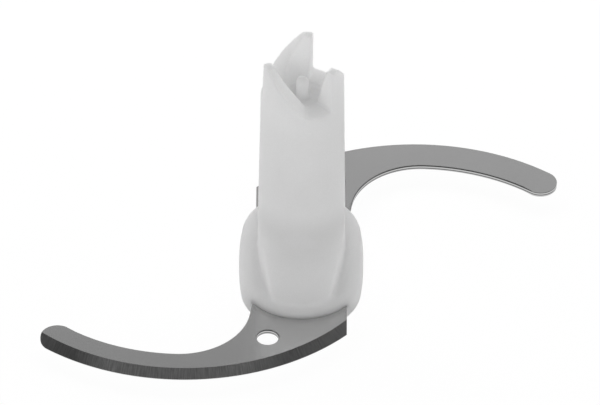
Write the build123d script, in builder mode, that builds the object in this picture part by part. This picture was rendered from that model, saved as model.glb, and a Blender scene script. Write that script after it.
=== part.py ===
from build123d import *
import os
from math import cos, degrees, radians, sin, sqrt, tan

# A chopping blade for the bowl of a food processor: a plastic hub moulded round a steel blade
# Millimetres, +Z up along the hub's axis, origin at the middle of the hub's flat underside

# Blade sheet and the strip that runs through the hub
blade_thickness = 1.5
blade_underside = 3.5
strip_width = 26.2
flare_start = 15.6
flare_angle = 9.0
root_radius = 20.4
centre_hole_diameter = 14.0

# Front arm, seen from above: the back arm is its half turn
arm_centre_x = -33.4
arm_centre_y = 12.7
cutting_radius = 64.25
arm_width = 9.65
tip_angle = -126.7
locating_hole_diameter = 6.2
locating_hole_x = -9.35
locating_hole_y = -34.6

# Ground edge: on top of the front arm and under the back one
bevel_width = 3.4
edge_land = 0.12
bevel_start_angle = -138.0
bevel_end_angle = -38.0
grinding_margin = 1.0

# Hub base
base_width = 35.6
base_length = 53.6
base_end_fullness = 0.965
base_height = 9.4
base_top_radius = 4.4
base_bottom_chamfer = 0.8

# Stem
total_height = 79.4
stem_base_radius = 12.78
stem_draft_angle = 0.86

# Toes: the stem flares out at its foot, and the flare is trimmed to a narrow plan
toe_width = 24.8
toe_end_inset = 1.6
toe_end_height = 9.3
toe_slope_angle = 46.0
toe_bend_radius = 10.0
toe_bend_bite = 0.06
toe_straight = 4.0
toe_cheek_width = 16.6
toe_nose_depth = 2.0
toe_cheek_radius = 80.0
toe_corner_radius = 3.0

# Crown: three teeth, each with a steep driven face, a flat top and a helical back
tooth_count = 3
tooth_face_angle = 75.0
tooth_top_angle = 15.0
tooth_height = 13.1
ramp_angle = 67.0

# Socket inside the crown, with its centring post
socket_mouth_radius = 9.2
socket_throat_radius = 5.7
socket_bottom_radius = 5.3
socket_depth = 14.5
post_diameter = 3.7
post_below_tips = 7.45
post_dome_radius = 1.7

# Spindle bore from below
spindle_bore_diameter = 8.1
spindle_bore_depth = 44.0
spindle_lead_in = 0.8

# Heights and radii worked out from the sizes above
blade_top = blade_underside + blade_thickness
inner_radius = cutting_radius - arm_width
arm_middle_radius = cutting_radius - arm_width / 2
strip_half = strip_width / 2
stem_top_radius = stem_base_radius - total_height * tan(radians(stem_draft_angle))
slot_floor = total_height - tooth_height
socket_bottom = total_height - socket_depth
post_height = socket_depth - post_below_tips


def on_arm(radius, direction):
    """The point at a radius and a direction, in degrees, from the front arm's centre."""
    turn = radians(direction)
    return Vector(arm_centre_x + radius * cos(turn), arm_centre_y + radius * sin(turn))


def line_to_arm(start, lean, radius):
    """Where a line from start, leaning out from -Y by lean degrees, meets a circle of the arm."""
    step = Vector(-sin(radians(lean)), -cos(radians(lean)))
    arm = start - Vector(arm_centre_x, arm_centre_y)
    along = step.dot(arm)
    return start + step * (sqrt(along**2 - arm.dot(arm) + radius**2) - along)


# Plan of the front half of the blade: a band between two arcs, with a full round tip
flare_corner = Vector(-strip_half, -flare_start)
root_corner = line_to_arm(flare_corner, flare_angle, inner_radius)
outer_corner = line_to_arm(Vector(strip_half, 0), 0, cutting_radius)
outer_tip = on_arm(cutting_radius, tip_angle)
inner_tip = on_arm(inner_radius, tip_angle)
tip_turn = degrees(arm_width / 2 / arm_middle_radius)
tip_end = on_arm(arm_middle_radius / cos(radians(tip_turn)), tip_angle - tip_turn)
bevel_arc = bevel_end_angle - bevel_start_angle
inner_middle = on_arm(inner_radius, (tip_angle - 90) / 2)

with BuildSketch() as blade_half:
    with BuildLine():
        Line((strip_half, 0), outer_corner)
        ThreePointArc(outer_corner, on_arm(cutting_radius, -90), outer_tip)
        ThreePointArc(outer_tip, tip_end, inner_tip)
        ThreePointArc(inner_tip, inner_middle, root_corner)
        Polyline(root_corner, flare_corner, (-strip_half, 0), (strip_half, 0))
    make_face()
    root = blade_half.vertices().sort_by_distance(Vertex(root_corner))[0]
    fillet(root, radius=root_radius)

# Blade: stamped from sheet, with a round hole by each root, ground to an edge on each arm
with BuildPart() as blade:
    with BuildSketch(Plane.XY.offset(blade_underside)):
        with PolarLocations(0, 2):
            add(blade_half.sketch)
        with PolarLocations(0, 2):
            with Locations((locating_hole_x, locating_hole_y)):
                Circle(locating_hole_diameter / 2, mode=Mode.SUBTRACT)
        Circle(centre_hole_diameter / 2, mode=Mode.SUBTRACT)
    extrude(amount=blade_thickness)
    for half_turn, ground_face, edge_face in (
        (0, blade_top, blade_underside),
        (180, blade_underside, blade_top),
    ):
        centre = Vector(arm_centre_x, arm_centre_y).rotate(Axis.Z, half_turn)
        radial = Vector(1, 0, 0).rotate(Axis.Z, half_turn + bevel_start_angle)
        fall = (edge_face - ground_face) * (1 - edge_land / blade_thickness) / bevel_width
        near = cutting_radius - bevel_width - grinding_margin
        far = cutting_radius + grinding_margin
        above = ground_face - fall * grinding_margin
        below = ground_face + fall * (bevel_width + grinding_margin)
        with BuildSketch(Plane(centre, x_dir=radial, z_dir=radial.cross(Vector(0, 0, 1)))):
            with BuildLine():
                Polyline((near, above), (far, below), (far, above), close=True)
            make_face()
        revolve(axis=Axis(centre, (0, 0, 1)), revolution_arc=bevel_arc, mode=Mode.SUBTRACT)

# Toes: the flare of the stem's foot, turned about the axis and trimmed to its plan
toe_length = base_length - 2 * toe_end_inset
toe_cheek_length = toe_length - 2 * toe_nose_depth
toe_height_at_stem = toe_end_height + (toe_length / 2 - stem_base_radius) * tan(radians(toe_slope_angle))
bend_inner = stem_base_radius - toe_bend_bite - toe_height_at_stem * tan(radians(stem_draft_angle))
bend_rise = toe_bend_radius * tan(radians(90 - toe_slope_angle) / 2)
bend_top = toe_height_at_stem + bend_rise
bend_run = bend_rise * cos(radians(toe_slope_angle))
bend_drop = bend_rise * sin(radians(toe_slope_angle))
bend_low = Vector(bend_inner + bend_run, toe_height_at_stem - bend_drop)
slope_foot = toe_height_at_stem / tan(radians(toe_slope_angle)) + bend_inner

toe_shoulder = Vector(toe_width / 2, toe_straight / 2)
toe_cheek = Vector(toe_cheek_width / 2, toe_cheek_length / 2)

with BuildPart() as toes:
    with BuildSketch(Plane.XZ):
        with BuildLine():
            Polyline((bend_inner, bend_top), (0, bend_top), (0, 0), (slope_foot, 0), bend_low)
            TangentArc(bend_low, (bend_inner, bend_top), tangent=bend_low - Vector(slope_foot, 0))
        make_face()
    revolve(axis=Axis.Z)
    with BuildSketch():
        with BuildLine():
            Line((toe_width / 2, 0), toe_shoulder)
            RadiusArc(toe_shoulder, toe_cheek, -toe_cheek_radius)
            ThreePointArc(toe_cheek, (0, toe_length / 2), (-toe_cheek.X, toe_cheek.Y))
            RadiusArc((-toe_cheek.X, toe_cheek.Y), (-toe_shoulder.X, toe_shoulder.Y), -toe_cheek_radius)
            Polyline((-toe_shoulder.X, toe_shoulder.Y), (-toe_width / 2, 0), (toe_width / 2, 0))
        toe_half = make_face()
        fillet(toe_half.vertices().group_by(Axis.Y)[-1], radius=toe_corner_radius)
        mirror(about=Plane.XZ)
    extrude(amount=bend_top, mode=Mode.INTERSECT)

# Gap between two teeth: the helical back of one rises clockwise from +X, the flat floor runs to the next
ramp_pitch = tooth_height * 360 / ramp_angle
floor_angle = 360 / tooth_count - tooth_top_angle - ramp_angle
gap_angle = tooth_face_angle + tooth_top_angle + ramp_angle
gap_inner = post_diameter
gap_outer = stem_base_radius
gap_top = total_height + tooth_height

with BuildPart() as tooth_gap:
    with BuildSketch(Plane.XZ) as gap_section:
        with BuildLine():
            Polyline(
                (gap_inner, slot_floor),
                (gap_outer, slot_floor),
                (gap_outer, gap_top),
                (gap_inner, gap_top),
                close=True,
            )
        make_face()
    with BuildLine(Plane.XY.offset(slot_floor)) as ramp_path:
        Helix(pitch=ramp_pitch, height=tooth_height, radius=stem_top_radius, lefthand=True)
    sweep(sections=gap_section.sketch, path=ramp_path.line, is_frenet=True)
    revolve(gap_section.sketch, axis=Axis.Z, revolution_arc=floor_angle)

# Hub: base, stem and toes in one moulding; the base's plan is an oval of two long arcs and two round ends
base_half = base_width / 2
base_end_radius = base_end_fullness * base_half
base_end_centre = base_length / 2 - base_end_radius
base_side_radius = (base_half**2 + base_end_centre**2 - base_end_radius**2) / (base_half - base_end_radius) / 2
base_side_centre = base_side_radius - base_half

with BuildPart() as hub:
    with BuildSketch() as base_plan:
        with Locations((base_side_centre, 0)):
            Circle(base_side_radius)
        with Locations((-base_side_centre, 0)):
            Circle(base_side_radius, mode=Mode.INTERSECT)
        fillet(base_plan.vertices().group_by(Axis.Y)[0], radius=base_end_radius)
        fillet(base_plan.vertices().group_by(Axis.Y)[-1], radius=base_end_radius)
    extrude(amount=base_height)
    fillet(hub.edges().group_by(Axis.Z)[-1], radius=base_top_radius)
    chamfer(hub.edges().group_by(Axis.Z)[0], length=base_bottom_chamfer)
    with BuildSketch(Plane.XZ):
        with BuildLine():
            Polyline(
                (0, 0),
                (stem_base_radius, 0),
                (stem_top_radius, total_height),
                (0, total_height),
                close=True,
            )
        make_face()
    revolve(axis=Axis.Z)
    add(toes.part)

    # Crown: the socket, its post with a domed top, and the gaps between the teeth
    with BuildSketch(Plane.XZ):
        with BuildLine():
            Polyline(
                (0, total_height),
                (socket_mouth_radius, total_height),
                (socket_throat_radius, slot_floor),
                (socket_bottom_radius, socket_bottom),
                (0, socket_bottom),
                close=True,
            )
        make_face()
    revolve(axis=Axis.Z, mode=Mode.SUBTRACT)
    with Locations((0, 0, socket_bottom)):
        Cylinder(post_diameter / 2, post_height, align=(Align.CENTER, Align.CENTER, Align.MIN))
    post_top = hub.edges().filter_by(GeomType.CIRCLE).filter_by(lambda edge: edge.radius < post_diameter)
    fillet(post_top.sort_by(Axis.Z)[-1], radius=post_dome_radius)
    with PolarLocations(0, tooth_count, start_angle=gap_angle):
        add(tooth_gap.part, mode=Mode.SUBTRACT)

    # Room for the blade, which the plastic is moulded round, and the bore for the bowl's spindle
    add(blade.part, mode=Mode.SUBTRACT)
    with Locations(Plane.XY.rotated((180, 0, 0))):
        Hole(spindle_bore_diameter / 2, depth=spindle_bore_depth)
    bore_edges = hub.edges().filter_by(
        lambda edge: edge.geom_type == GeomType.CIRCLE and edge.radius == spindle_bore_diameter / 2
    )
    chamfer(bore_edges.sort_by(Axis.Z)[0], length=spindle_lead_in)

os.makedirs("parts", exist_ok=True)
blade.part.label = "blade"
export_step(blade.part, "parts/blade.step")
hub.part.label = "hub"
export_step(hub.part, "parts/hub.step")
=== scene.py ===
from math import cos, radians, sin

import bmesh
import bpy
from mathutils import Matrix, Vector


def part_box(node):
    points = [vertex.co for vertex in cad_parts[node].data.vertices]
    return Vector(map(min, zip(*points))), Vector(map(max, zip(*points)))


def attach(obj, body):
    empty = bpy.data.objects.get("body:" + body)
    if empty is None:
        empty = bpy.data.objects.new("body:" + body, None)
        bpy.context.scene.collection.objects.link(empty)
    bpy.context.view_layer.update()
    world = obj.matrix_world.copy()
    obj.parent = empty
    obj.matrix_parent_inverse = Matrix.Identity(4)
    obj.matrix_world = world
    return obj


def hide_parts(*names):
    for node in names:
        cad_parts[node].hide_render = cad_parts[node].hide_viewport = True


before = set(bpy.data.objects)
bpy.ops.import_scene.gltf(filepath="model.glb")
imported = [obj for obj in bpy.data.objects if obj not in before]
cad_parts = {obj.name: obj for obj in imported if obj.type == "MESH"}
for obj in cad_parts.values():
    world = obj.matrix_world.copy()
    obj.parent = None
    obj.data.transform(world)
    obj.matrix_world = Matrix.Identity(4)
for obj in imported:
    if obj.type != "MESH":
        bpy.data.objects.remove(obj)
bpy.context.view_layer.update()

# Sizes in metres, read from the frame where it has them
BLADE_UNDERSIDE, BLADE_TOP = (corner[2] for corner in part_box("blade"))
SHEET_THICKNESS = BLADE_TOP - BLADE_UNDERSIDE
HUB_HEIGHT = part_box("hub")[1][2]
SHEET_ROUNDING = 0.0003
MOULDING_GRAIN = 0.0004
SLOT_LOW, SLOT_HIGH = BLADE_UNDERSIDE - MOULDING_GRAIN, BLADE_TOP + 2 * MOULDING_GRAIN
TOE_FOOT, TOE_TOP = 0.0064, 0.030
TOE_FADE_LOW, TOE_FADE_HIGH = 0.002, 0.006
CORE_RADIUS = 0.0115
SAME_CORNER, SAME_PLACE = 1e-7, 0.000002

# How the meshes are finished
COPLANAR_ANGLE, CORNER_ANGLE, SHARP_ANGLE = radians(0.3), radians(70), radians(8)
WALL_TILT, FULL_HEIGHT = 0.1, 0.9
SMOOTHING = 0.5
SKIN_ROUNDS, TOE_ROUNDS = 2, 14
KEPT_FACES = 0.4
ROUNDING_STEPS = 3

# Noise, in cells a metre, and the band of it that sets the roughness
PLASTIC_CLOUDS, PLASTIC_SPECKS = 70.0, 2600.0
STEEL_CLOUDS, STEEL_GRAIN, GRINDING_MARKS = 45.0, 9000.0, 2600.0
NOISE_BAND = (0.3, 0.7)

# Plastic: its tones are shares of its own grey. Those of the bend, the crown and the toes' ends
# go by place alone: painted shade in the bend's crease, and painted light at the crown and the
# toes' ends. All of them were set to match the photograph
SPECK_BAND, SPECK_TONES = (0.3, 0.75), (0.97, 1.02)
BEND_HEIGHT, BEND_REACH, BEND_PAINTED_SHADE = 0.0235, 0.009, 0.92
CROWN_RISE, CROWN_PAINTED_LIGHT = (0.055, 0.068), 1.05
TOE_END, END_PAINTED_LIGHT = (0.015, 0.024), 1.06
RUBBED_TONE, RUBBED_POLISH = 1.02, 0.12
PLASTIC_ROUGHNESS = (0.40, 0.52)
SCATTER_DEPTH = 0.009

# Edge wear: how sharp an edge is, and how far the clouds break its wear up
EDGE_SHARPNESS = (0.515, 0.56)
WEAR_BAND, WEAR_SHARES = (0.35, 0.65), (0.4, 1.0)

# Steel: a face is a wall, a ground bevel or a flat by how far its normal points up. The painted shade
# along the bevels and the two painted lines of shade on the walls were set to match the photograph
WALL_BELOW, FLAT_ABOVE = 0.80, 0.975
BRUSHING = (0.05, 1.0, 1.0)
EDGE_RADIUS, MARK_SLANT, MARK_RUN = 0.06, -0.7, 0.1
MARK_BAND = (0.38, 0.80)
TIP_SPAN, TIP_PAINTED_SHADE = (-0.064, -0.054), 0.44
ROOT_SPAN, ROOT_PAINTED_SHADE = (-0.016, -0.004), 0.58
RIM_LINE, RIM_FADE, RIM_PAINTED_SHADE = 0.90, (0.05, 0.13), 0.18
LOW_LINE, LOW_FADE, LOW_PAINTED_SHADE = 0.40, (0.06, 0.15), 0.22
STEEL_ROUGHNESS, BEVEL_ROUGHER, STEEL_POLISH = (0.18, 0.27), 0.18, 0.08

# Studio: a floor, and a room that is pale near the floor and dim overhead
FLOOR_REACH, FLOOR_GAP = 3.0, 0.00002
FLOOR_GREY, FLOOR_GLOW, GLOW_SHARE = 0.9, 1.05, 0.90
ROOM_HEIGHTS, ROOM_LEVELS = (0.50, 0.88), (0.55, 0.10)

# Camera: a long lens at the photograph's angle. It sees the axis, at the blade's top, at the
# sighted pixel
ELEVATION, ROLL = radians(40.05), radians(0.46)
LENS, SENSOR = 556.0, 36.0
IMAGE_WIDTH, IMAGE_HEIGHT = 600, 405
PIXELS_A_METRE = 3494.0
SIGHTED_PIXEL = (301.2, 258.4)
NEAREST, FARTHEST = 0.1, 20.0

WHITE = (1.0, 1.0, 1.0, 1.0)


def grey(level, warmth=0.0):
    """An opaque grey, a little warmer where warmth is above 0."""
    return (level * (1 + warmth), level, level * (1 - warmth), 1.0)


def placed(name, data):
    """A new object at the origin, in the scene."""
    thing = bpy.data.objects.new(name, data)
    bpy.context.scene.collection.objects.link(thing)
    return thing


def join(owner, from_socket, to_socket):
    """A link between two sockets of a material or the world."""
    owner.node_tree.links.new(from_socket, to_socket)


def fresh_nodes(owner):
    """The owner's node list, emptied."""
    owner.use_nodes = True
    owner.node_tree.nodes.clear()
    return owner.node_tree.nodes


def math_node(owner, operation, *values):
    """A Math node whose inputs are numbers or sockets."""
    node = owner.node_tree.nodes.new("ShaderNodeMath")
    node.operation = operation
    for socket, value in zip(node.inputs, values):
        if isinstance(value, (int, float)):
            socket.default_value = value
        else:
            join(owner, value, socket)
    return node.outputs[0]


def span_node(owner, value, source, target, smooth=False):
    """Maps a value from one span to another, clamped. A span is its two ends."""
    node = owner.node_tree.nodes.new("ShaderNodeMapRange")
    node.interpolation_type = "SMOOTHSTEP" if smooth else "LINEAR"
    for name, number in zip(("From Min", "From Max", "To Min", "To Max"), (*source, *target)):
        node.inputs[name].default_value = number
    join(owner, value, node.inputs["Value"])
    return node.outputs["Result"]


def noise_node(owner, place, scale, detail, roughness=0.5):
    """Noise on a place, in cells a metre."""
    node = owner.node_tree.nodes.new("ShaderNodeTexNoise")
    for name, number in (("Scale", scale), ("Detail", detail), ("Roughness", roughness)):
        node.inputs[name].default_value = number
    join(owner, place, node.inputs["Vector"])
    return node.outputs["Fac"]


def split(owner, vector):
    """The X, Y and Z sockets of a vector."""
    node = owner.node_tree.nodes.new("ShaderNodeSeparateXYZ")
    join(owner, vector, node.inputs[0])
    return node.outputs


def scaled_colour(owner, colour, share):
    """A colour made darker or paler by a share."""
    node = owner.node_tree.nodes.new("ShaderNodeVectorMath")
    node.operation = "SCALE"
    join(owner, colour, node.inputs[0])
    join(owner, share, node.inputs["Scale"])
    return node.outputs["Vector"]


def mix_colours(owner, factor, first, second):
    """A colour between two colours, each four numbers or a socket."""
    node = owner.node_tree.nodes.new("ShaderNodeMix")
    node.data_type = "RGBA"
    join(owner, factor, node.inputs[0])
    colour_sockets = [socket for socket in node.inputs if socket.type == "RGBA"]
    for socket, colour in zip(colour_sockets, (first, second)):
        if isinstance(colour, tuple):
            socket.default_value = colour
        else:
            join(owner, colour, socket)
    return next(socket for socket in node.outputs if socket.type == "RGBA")


def new_material(name):
    """A material with only its output and a Principled shader."""
    material = bpy.data.materials.new(name)
    nodes = fresh_nodes(material)
    output = nodes.new("ShaderNodeOutputMaterial")
    shader = nodes.new("ShaderNodeBsdfPrincipled")
    join(material, shader.outputs["BSDF"], output.inputs["Surface"])
    return material, nodes, shader


def add_bump(material, shader, height, strength, distance):
    """Gives the shader a bump of a set distance in metres."""
    bump = material.node_tree.nodes.new("ShaderNodeBump")
    bump.inputs["Strength"].default_value = strength
    bump.inputs["Distance"].default_value = distance
    join(material, height, bump.inputs["Height"])
    join(material, bump.outputs["Normal"], shader.inputs["Normal"])


def worn_edges(material, cloud):
    """How far handling has rubbed a spot: most on the sharpest edges, broken up by the clouds."""
    sharpness = material.node_tree.nodes.new("ShaderNodeNewGeometry").outputs["Pointiness"]
    rubbed = span_node(material, sharpness, EDGE_SHARPNESS, (0.0, 1.0), smooth=True)
    return math_node(material, "MULTIPLY", rubbed, span_node(material, cloud, WEAR_BAND, WEAR_SHARES))


def painted_shade_and_light(material, place):
    """Painted shade at the bend, and painted light at the crown and the toes' ends, by place."""
    at = split(material, place)
    off_bend = math_node(material, "ABSOLUTE", math_node(material, "SUBTRACT", at["Z"], BEND_HEIGHT))
    from_middle = math_node(material, "ABSOLUTE", at["Y"])
    return (
        span_node(material, off_bend, (0.0, BEND_REACH), (BEND_PAINTED_SHADE, 1.0), smooth=True),
        span_node(material, at["Z"], CROWN_RISE, (1.0, CROWN_PAINTED_LIGHT), smooth=True),
        span_node(material, from_middle, TOE_END, (1.0, END_PAINTED_LIGHT), smooth=True),
    )


def milky_moulding():
    """The hub's satin, translucent plastic."""
    material, nodes, shader = new_material("milky_moulding")
    place = nodes.new("ShaderNodeTexCoord").outputs["Object"]
    cloud = noise_node(material, place, PLASTIC_CLOUDS, detail=2.0)
    speck = noise_node(material, place, PLASTIC_SPECKS, detail=3.0, roughness=0.6)
    wear = worn_edges(material, cloud)

    tone = span_node(material, speck, SPECK_BAND, SPECK_TONES)
    rubbed_pale = span_node(material, wear, (0.0, 1.0), (1.0, RUBBED_TONE))
    # Painted shade at the bend and painted light at the crown and the toes' ends, with the rubbed edges'
    # wear
    for share in (*painted_shade_and_light(material, place), rubbed_pale):
        tone = math_node(material, "MULTIPLY", tone, share)
    clouded = mix_colours(material, cloud, grey(0.88, 0.003), grey(0.92, -0.002))
    join(material, scaled_colour(material, clouded, tone), shader.inputs["Base Color"])

    satin = span_node(material, speck, NOISE_BAND, PLASTIC_ROUGHNESS)
    polish = math_node(material, "MULTIPLY", wear, RUBBED_POLISH)
    join(material, math_node(material, "SUBTRACT", satin, polish), shader.inputs["Roughness"])
    add_bump(material, shader, speck, strength=0.25, distance=0.00004)
    shader.inputs["IOR"].default_value = 1.5
    shader.inputs["Subsurface Weight"].default_value = 1.0
    shader.inputs["Subsurface Radius"].default_value = (1.0, 1.0, 1.0)
    shader.inputs["Subsurface Scale"].default_value = SCATTER_DEPTH
    return material


def grinding_marks(material, nodes, place, at):
    """Marks that run slantwise across the bevels, in places laid out round the hub's axis."""
    turn = math_node(material, "ARCTAN2", at["Y"], at["X"])
    along = math_node(material, "MULTIPLY", turn, EDGE_RADIUS)
    reach = nodes.new("ShaderNodeVectorMath")
    reach.operation = "LENGTH"
    join(material, place, reach.inputs[0])
    out = reach.outputs["Value"]
    slanted = math_node(material, "ADD", along, math_node(material, "MULTIPLY", out, MARK_SLANT))
    laid_out = nodes.new("ShaderNodeCombineXYZ")
    join(material, slanted, laid_out.inputs["X"])
    join(material, math_node(material, "MULTIPLY", out, MARK_RUN), laid_out.inputs["Y"])
    marks = noise_node(material, laid_out.outputs[0], GRINDING_MARKS, detail=3.0, roughness=0.6)
    return span_node(material, marks, MARK_BAND, (0.0, 1.0))


def painted_bevel_shade(material, at):
    """Painted shade along each arm's bevel: darker at the tip and the root."""
    arm_side = math_node(material, "MULTIPLY", math_node(material, "SIGN", at["Y"]), -1.0)
    from_root = math_node(material, "MULTIPLY", at["X"], arm_side)
    return math_node(
        material,
        "MULTIPLY",
        span_node(material, from_root, TIP_SPAN, (TIP_PAINTED_SHADE, 1.0)),
        span_node(material, from_root, ROOT_SPAN, (1.0, ROOT_PAINTED_SHADE)),
    )


def line_along(material, rise, middle, fade, tone):
    """A painted dark line of shade along the sheet's walls, at a share of the sheet's thickness."""
    away = math_node(material, "ABSOLUTE", math_node(material, "SUBTRACT", rise, middle))
    return span_node(material, away, fade, (tone, 1.0))


def painted_wall_shade(material, at):
    """Two painted dark lines of shade round the walls, at set heights."""
    rise = span_node(material, at["Z"], (BLADE_UNDERSIDE, BLADE_TOP), (0.0, 1.0))
    rim = line_along(material, rise, RIM_LINE, RIM_FADE, RIM_PAINTED_SHADE)
    low_line = line_along(material, rise, LOW_LINE, LOW_FADE, LOW_PAINTED_SHADE)
    return math_node(material, "MINIMUM", rim, low_line)


def satin_sheet():
    """The blade's steel: satin on its flats and ground on its bevels, with painted shade on bevels and
    walls.
    """
    material, nodes, shader = new_material("satin_sheet")
    place = nodes.new("ShaderNodeTexCoord").outputs["Object"]
    at = split(material, place)
    brushed = nodes.new("ShaderNodeMapping")
    brushed.inputs["Scale"].default_value = BRUSHING
    join(material, place, brushed.inputs["Vector"])
    grain = noise_node(material, brushed.outputs["Vector"], STEEL_GRAIN, detail=4.0, roughness=0.6)
    cloud = noise_node(material, place, STEEL_CLOUDS, detail=2.0)

    face_normal = nodes.new("ShaderNodeNewGeometry").outputs["True Normal"]
    upright = math_node(material, "ABSOLUTE", split(material, face_normal)["Z"])
    wall = math_node(material, "LESS_THAN", upright, WALL_BELOW)
    bevel = math_node(
        material,
        "MULTIPLY",
        math_node(material, "GREATER_THAN", upright, WALL_BELOW),
        math_node(material, "LESS_THAN", upright, FLAT_ABOVE),
    )

    flat_colour = mix_colours(material, cloud, grey(0.53), grey(0.59))
    marks = grinding_marks(material, nodes, place, at)
    marked = mix_colours(material, marks, grey(0.45), grey(0.75))
    # The bevels' grinding marks, with painted shade at each arm's tip and root
    bevel_colour = scaled_colour(material, marked, painted_bevel_shade(material, at))
    # The walls take two painted lines of shade
    wall_colour = scaled_colour(material, flat_colour, painted_wall_shade(material, at))
    colour = mix_colours(material, bevel, flat_colour, bevel_colour)
    colour = mix_colours(material, wall, colour, wall_colour)
    join(material, colour, shader.inputs["Base Color"])

    satin = span_node(material, grain, NOISE_BAND, STEEL_ROUGHNESS)
    rougher = math_node(material, "MULTIPLY", bevel, BEVEL_ROUGHER)
    polish = math_node(material, "MULTIPLY", worn_edges(material, cloud), STEEL_POLISH)
    roughness = math_node(material, "ADD", satin, rougher)
    roughness = math_node(material, "SUBTRACT", roughness, math_node(material, "MULTIPLY", polish, wall))
    join(material, roughness, shader.inputs["Roughness"])
    add_bump(material, shader, grain, strength=0.05, distance=0.00001)
    shader.inputs["Metallic"].default_value = 1.0
    return material


def merged_copy(node_name):
    """The node's triangles as one closed shape, its flat faces joined up."""
    shape = bmesh.new()
    shape.from_mesh(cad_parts[node_name].data)
    bmesh.ops.remove_doubles(shape, verts=shape.verts, dist=SAME_CORNER)
    bmesh.ops.dissolve_limit(shape, angle_limit=COPLANAR_ANGLE, verts=shape.verts, edges=shape.edges)
    shape.normal_update()
    return shape


def blank_of(shape, name):
    """A shape as an object that modifiers can work on."""
    mesh = bpy.data.meshes.new(name)
    shape.to_mesh(mesh)
    shape.free()
    return placed(name, mesh)


def settled(blank, name, material):
    """The blank as its modifiers leave it: a plain mesh, which takes the blank's place."""
    finished = bpy.data.meshes.new_from_object(
        blank.evaluated_get(bpy.context.evaluated_depsgraph_get())
    )
    bpy.data.objects.remove(blank)
    finished.name = name
    finished.materials.clear()
    finished.materials.append(material)
    return placed(name, finished)


def shaded_smooth(piece):
    """Every face of the piece shaded smooth."""
    for face in piece.data.polygons:
        face.use_smooth = True


def stands_for(piece, node_name):
    """The piece rides on the part's one body in place of a node, whose own mesh is hidden."""
    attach(piece, "root")
    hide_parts(node_name)


def toe_share(place):
    """How far the toes' rounding takes a point: in full along the toes, and less at their two ends."""
    if place.xy.length <= CORE_RADIUS or not TOE_FOOT < place.z < TOE_TOP:
        return 0.0
    return min(1.0, (place.z - TOE_FOOT) / TOE_FADE_LOW, (TOE_TOP - place.z) / TOE_FADE_HIGH)


def rubbed_down(blank, name, group, rounds):
    """Smooths the points of a group as far as their shares in it say."""
    smoothing = blank.modifiers.new(name, "SMOOTH")
    smoothing.factor = SMOOTHING
    smoothing.iterations = rounds
    smoothing.vertex_group = group.name


def moulded_hub(material):
    """The hub with its edges as round as a moulding's: the toes' more than the crown's."""
    blank = blank_of(merged_copy("hub"), "hub_blank")
    remesh = blank.modifiers.new("even_mesh", "REMESH")
    remesh.mode = "VOXEL"
    remesh.voxel_size = MOULDING_GRAIN
    even = settled(blank, "hub_even", material)

    # Neither smoothing reaches the slot, so that the plastic stays closed on the blade
    points = even.data.vertices
    skin = even.vertex_groups.new(name="skin")
    skin.add([point.index for point in points if not SLOT_LOW < point.co.z < SLOT_HIGH], 1.0, "REPLACE")
    toes = even.vertex_groups.new(name="toes")
    for point in points:
        share = toe_share(point.co)
        if share > 0:
            toes.add([point.index], share, "REPLACE")
    rubbed_down(even, "tool_marks_off", skin, SKIN_ROUNDS)
    rubbed_down(even, "toe_rounding", toes, TOE_ROUNDS)
    fewer = even.modifiers.new("fewer_faces", "DECIMATE")
    fewer.ratio = KEPT_FACES
    hub = settled(even, "moulded_hub", material)
    shaded_smooth(hub)
    stands_for(hub, "hub")


def is_full_height(wall, end):
    """Whether a wall reaches from one face of the sheet to the other at one of its corners."""
    return any(
        (corner.co.xy - end.co.xy).length < SAME_PLACE
        and abs(corner.co.z - end.co.z) > FULL_HEIGHT * SHEET_THICKNESS
        for corner in wall.verts
    )


def is_stamped_rim(edge):
    """Whether a flat face meets a wall that has the sheet's full thickness at both ends of the edge."""
    if len(edge.link_faces) != 2 or edge.calc_face_angle() < CORNER_ANGLE:
        return False
    walls = [face for face in edge.link_faces if abs(face.normal.z) < WALL_TILT]
    return bool(walls) and all(is_full_height(wall, end) for wall in walls for end in edge.verts)


def ground_blade(material):
    """The blade, its stamped rims rounded as far as the tips' arcs, and its ground edges left sharp."""
    shape = merged_copy("blade")
    weight = shape.edges.layers.float.new("bevel_weight_edge")
    for edge in shape.edges:
        edge[weight] = float(is_stamped_rim(edge))
    blank = blank_of(shape, "blade_blank")
    rounding = blank.modifiers.new("rounding", "BEVEL")
    rounding.width = SHEET_ROUNDING
    rounding.segments = ROUNDING_STEPS
    rounding.limit_method = "WEIGHT"
    rounding.use_clamp_overlap = False
    rounding.miter_outer = "MITER_ARC"
    blade = settled(blank, "ground_blade", material)
    shaded_smooth(blade)
    blade.data.set_sharp_from_angle(angle=SHARP_ANGLE)
    stands_for(blade, "blade")


def pale_floor():
    """A matte floor with a faint shadow, which the camera and reflections see as nearly white."""
    material = bpy.data.materials.new("pale_floor")
    nodes = fresh_nodes(material)
    output = nodes.new("ShaderNodeOutputMaterial")
    matte = nodes.new("ShaderNodeBsdfDiffuse")
    matte.inputs["Color"].default_value = grey(FLOOR_GREY)
    glow = nodes.new("ShaderNodeEmission")
    glow.inputs["Color"].default_value = WHITE
    glow.inputs["Strength"].default_value = FLOOR_GLOW
    path = nodes.new("ShaderNodeLightPath")
    seen = math_node(material, "MAXIMUM", path.outputs["Is Camera Ray"], path.outputs["Is Glossy Ray"])
    mixed = nodes.new("ShaderNodeMixShader")
    join(material, math_node(material, "MULTIPLY", seen, GLOW_SHARE), mixed.inputs["Fac"])
    join(material, matte.outputs[0], mixed.inputs[1])
    join(material, glow.outputs[0], mixed.inputs[2])
    join(material, mixed.outputs[0], output.inputs["Surface"])
    return material


def studio_floor():
    """The floor, a hair under the part so that the two faces don't coincide."""
    shape = bmesh.new()
    below = Matrix.Translation((0, 0, -FLOOR_GAP))
    bmesh.ops.create_grid(shape, x_segments=1, y_segments=1, size=FLOOR_REACH, matrix=below)
    floor = blank_of(shape, "floor")
    floor.data.materials.append(pale_floor())


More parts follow.
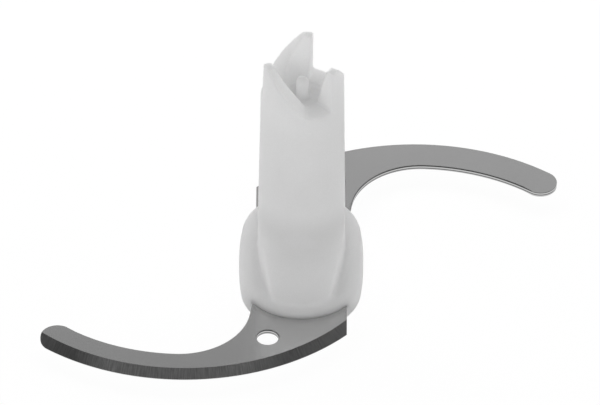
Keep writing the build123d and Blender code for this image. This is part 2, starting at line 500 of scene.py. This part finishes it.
def studio_room():
    """The room as the world: its light goes by height, and only the camera sees it as plain white."""
    world = bpy.data.worlds.new("studio")
    bpy.context.scene.world = world
    nodes = fresh_nodes(world)
    output = nodes.new("ShaderNodeOutputWorld")
    direction = split(world, nodes.new("ShaderNodeTexCoord").outputs["Generated"])
    room = nodes.new("ShaderNodeBackground")
    room.inputs["Color"].default_value = WHITE
    join(world, span_node(world, direction["Z"], ROOM_HEIGHTS, ROOM_LEVELS), room.inputs["Strength"])
    backdrop = nodes.new("ShaderNodeBackground")
    backdrop.inputs["Color"].default_value = WHITE
    backdrop.inputs["Strength"].default_value = 1.0
    mixed = nodes.new("ShaderNodeMixShader")
    join(world, nodes.new("ShaderNodeLightPath").outputs["Is Camera Ray"], mixed.inputs["Fac"])
    join(world, room.outputs[0], mixed.inputs[1])
    join(world, backdrop.outputs[0], mixed.inputs[2])
    join(world, mixed.outputs[0], output.inputs["Surface"])


def soft_box(name, azimuth, elevation, distance, width, height, power, in_gloss=True):
    """A lamp that faces the hub from a direction: azimuth 0 is the camera's side, 90 the right."""
    lamp = bpy.data.lights.new(name, "AREA")
    lamp.shape = "RECTANGLE"
    lamp.size = width
    lamp.size_y = height
    lamp.energy = power
    box = placed(name, lamp)
    turn, rise = radians(azimuth), radians(elevation)
    away = Vector((sin(turn) * cos(rise), -cos(turn) * cos(rise), sin(rise)))
    box.location = Vector((0, 0, HUB_HEIGHT / 2)) + away * distance
    box.rotation_euler = away.to_track_quat("Z", "Y").to_euler()
    box.visible_camera = False
    box.visible_glossy = in_gloss


def photo_camera():
    """The camera as it was fitted to the photograph."""
    camera_data = bpy.data.cameras.new("camera")
    camera_data.lens = LENS
    camera_data.sensor_width = SENSOR
    camera_data.clip_start = NEAREST
    camera_data.clip_end = FARTHEST
    camera = placed("camera", camera_data)
    bpy.context.scene.camera = camera
    forward = Vector((0, cos(ELEVATION), -sin(ELEVATION)))
    level_up = Vector((0, sin(ELEVATION), cos(ELEVATION)))
    level_right = Vector((1, 0, 0))
    right = level_right * cos(ROLL) + level_up * sin(ROLL)
    up = level_up * cos(ROLL) - level_right * sin(ROLL)
    distance = LENS / SENSOR * IMAGE_WIDTH / PIXELS_A_METRE
    across = (SIGHTED_PIXEL[0] - IMAGE_WIDTH / 2) / PIXELS_A_METRE
    rise = (IMAGE_HEIGHT / 2 - SIGHTED_PIXEL[1]) / PIXELS_A_METRE
    camera.location = Vector((0, 0, BLADE_TOP)) - forward * distance - right * across - up * rise
    camera.rotation_mode = "QUATERNION"
    camera.rotation_quaternion = Matrix((right, up, -forward)).transposed().to_quaternion()


moulded_hub(milky_moulding())
ground_blade(satin_sheet())
studio_floor()
studio_room()
soft_box("left_box", -75, 14, distance=0.8, width=0.7, height=0.6, power=1.05)
soft_box("right_box", 75, 14, distance=0.8, width=0.7, height=0.6, power=0.75)
soft_box("front_box", 0, 3, distance=0.9, width=0.8, height=0.4, power=1.9)
soft_box("back_box", 180, 26, distance=0.6, width=0.9, height=0.25, power=0.18)
soft_box("through_box", 180, 40, distance=0.6, width=0.9, height=0.25, power=1.4, in_gloss=False)
photo_camera()
bpy.context.scene.view_settings.view_transform = "Standard"
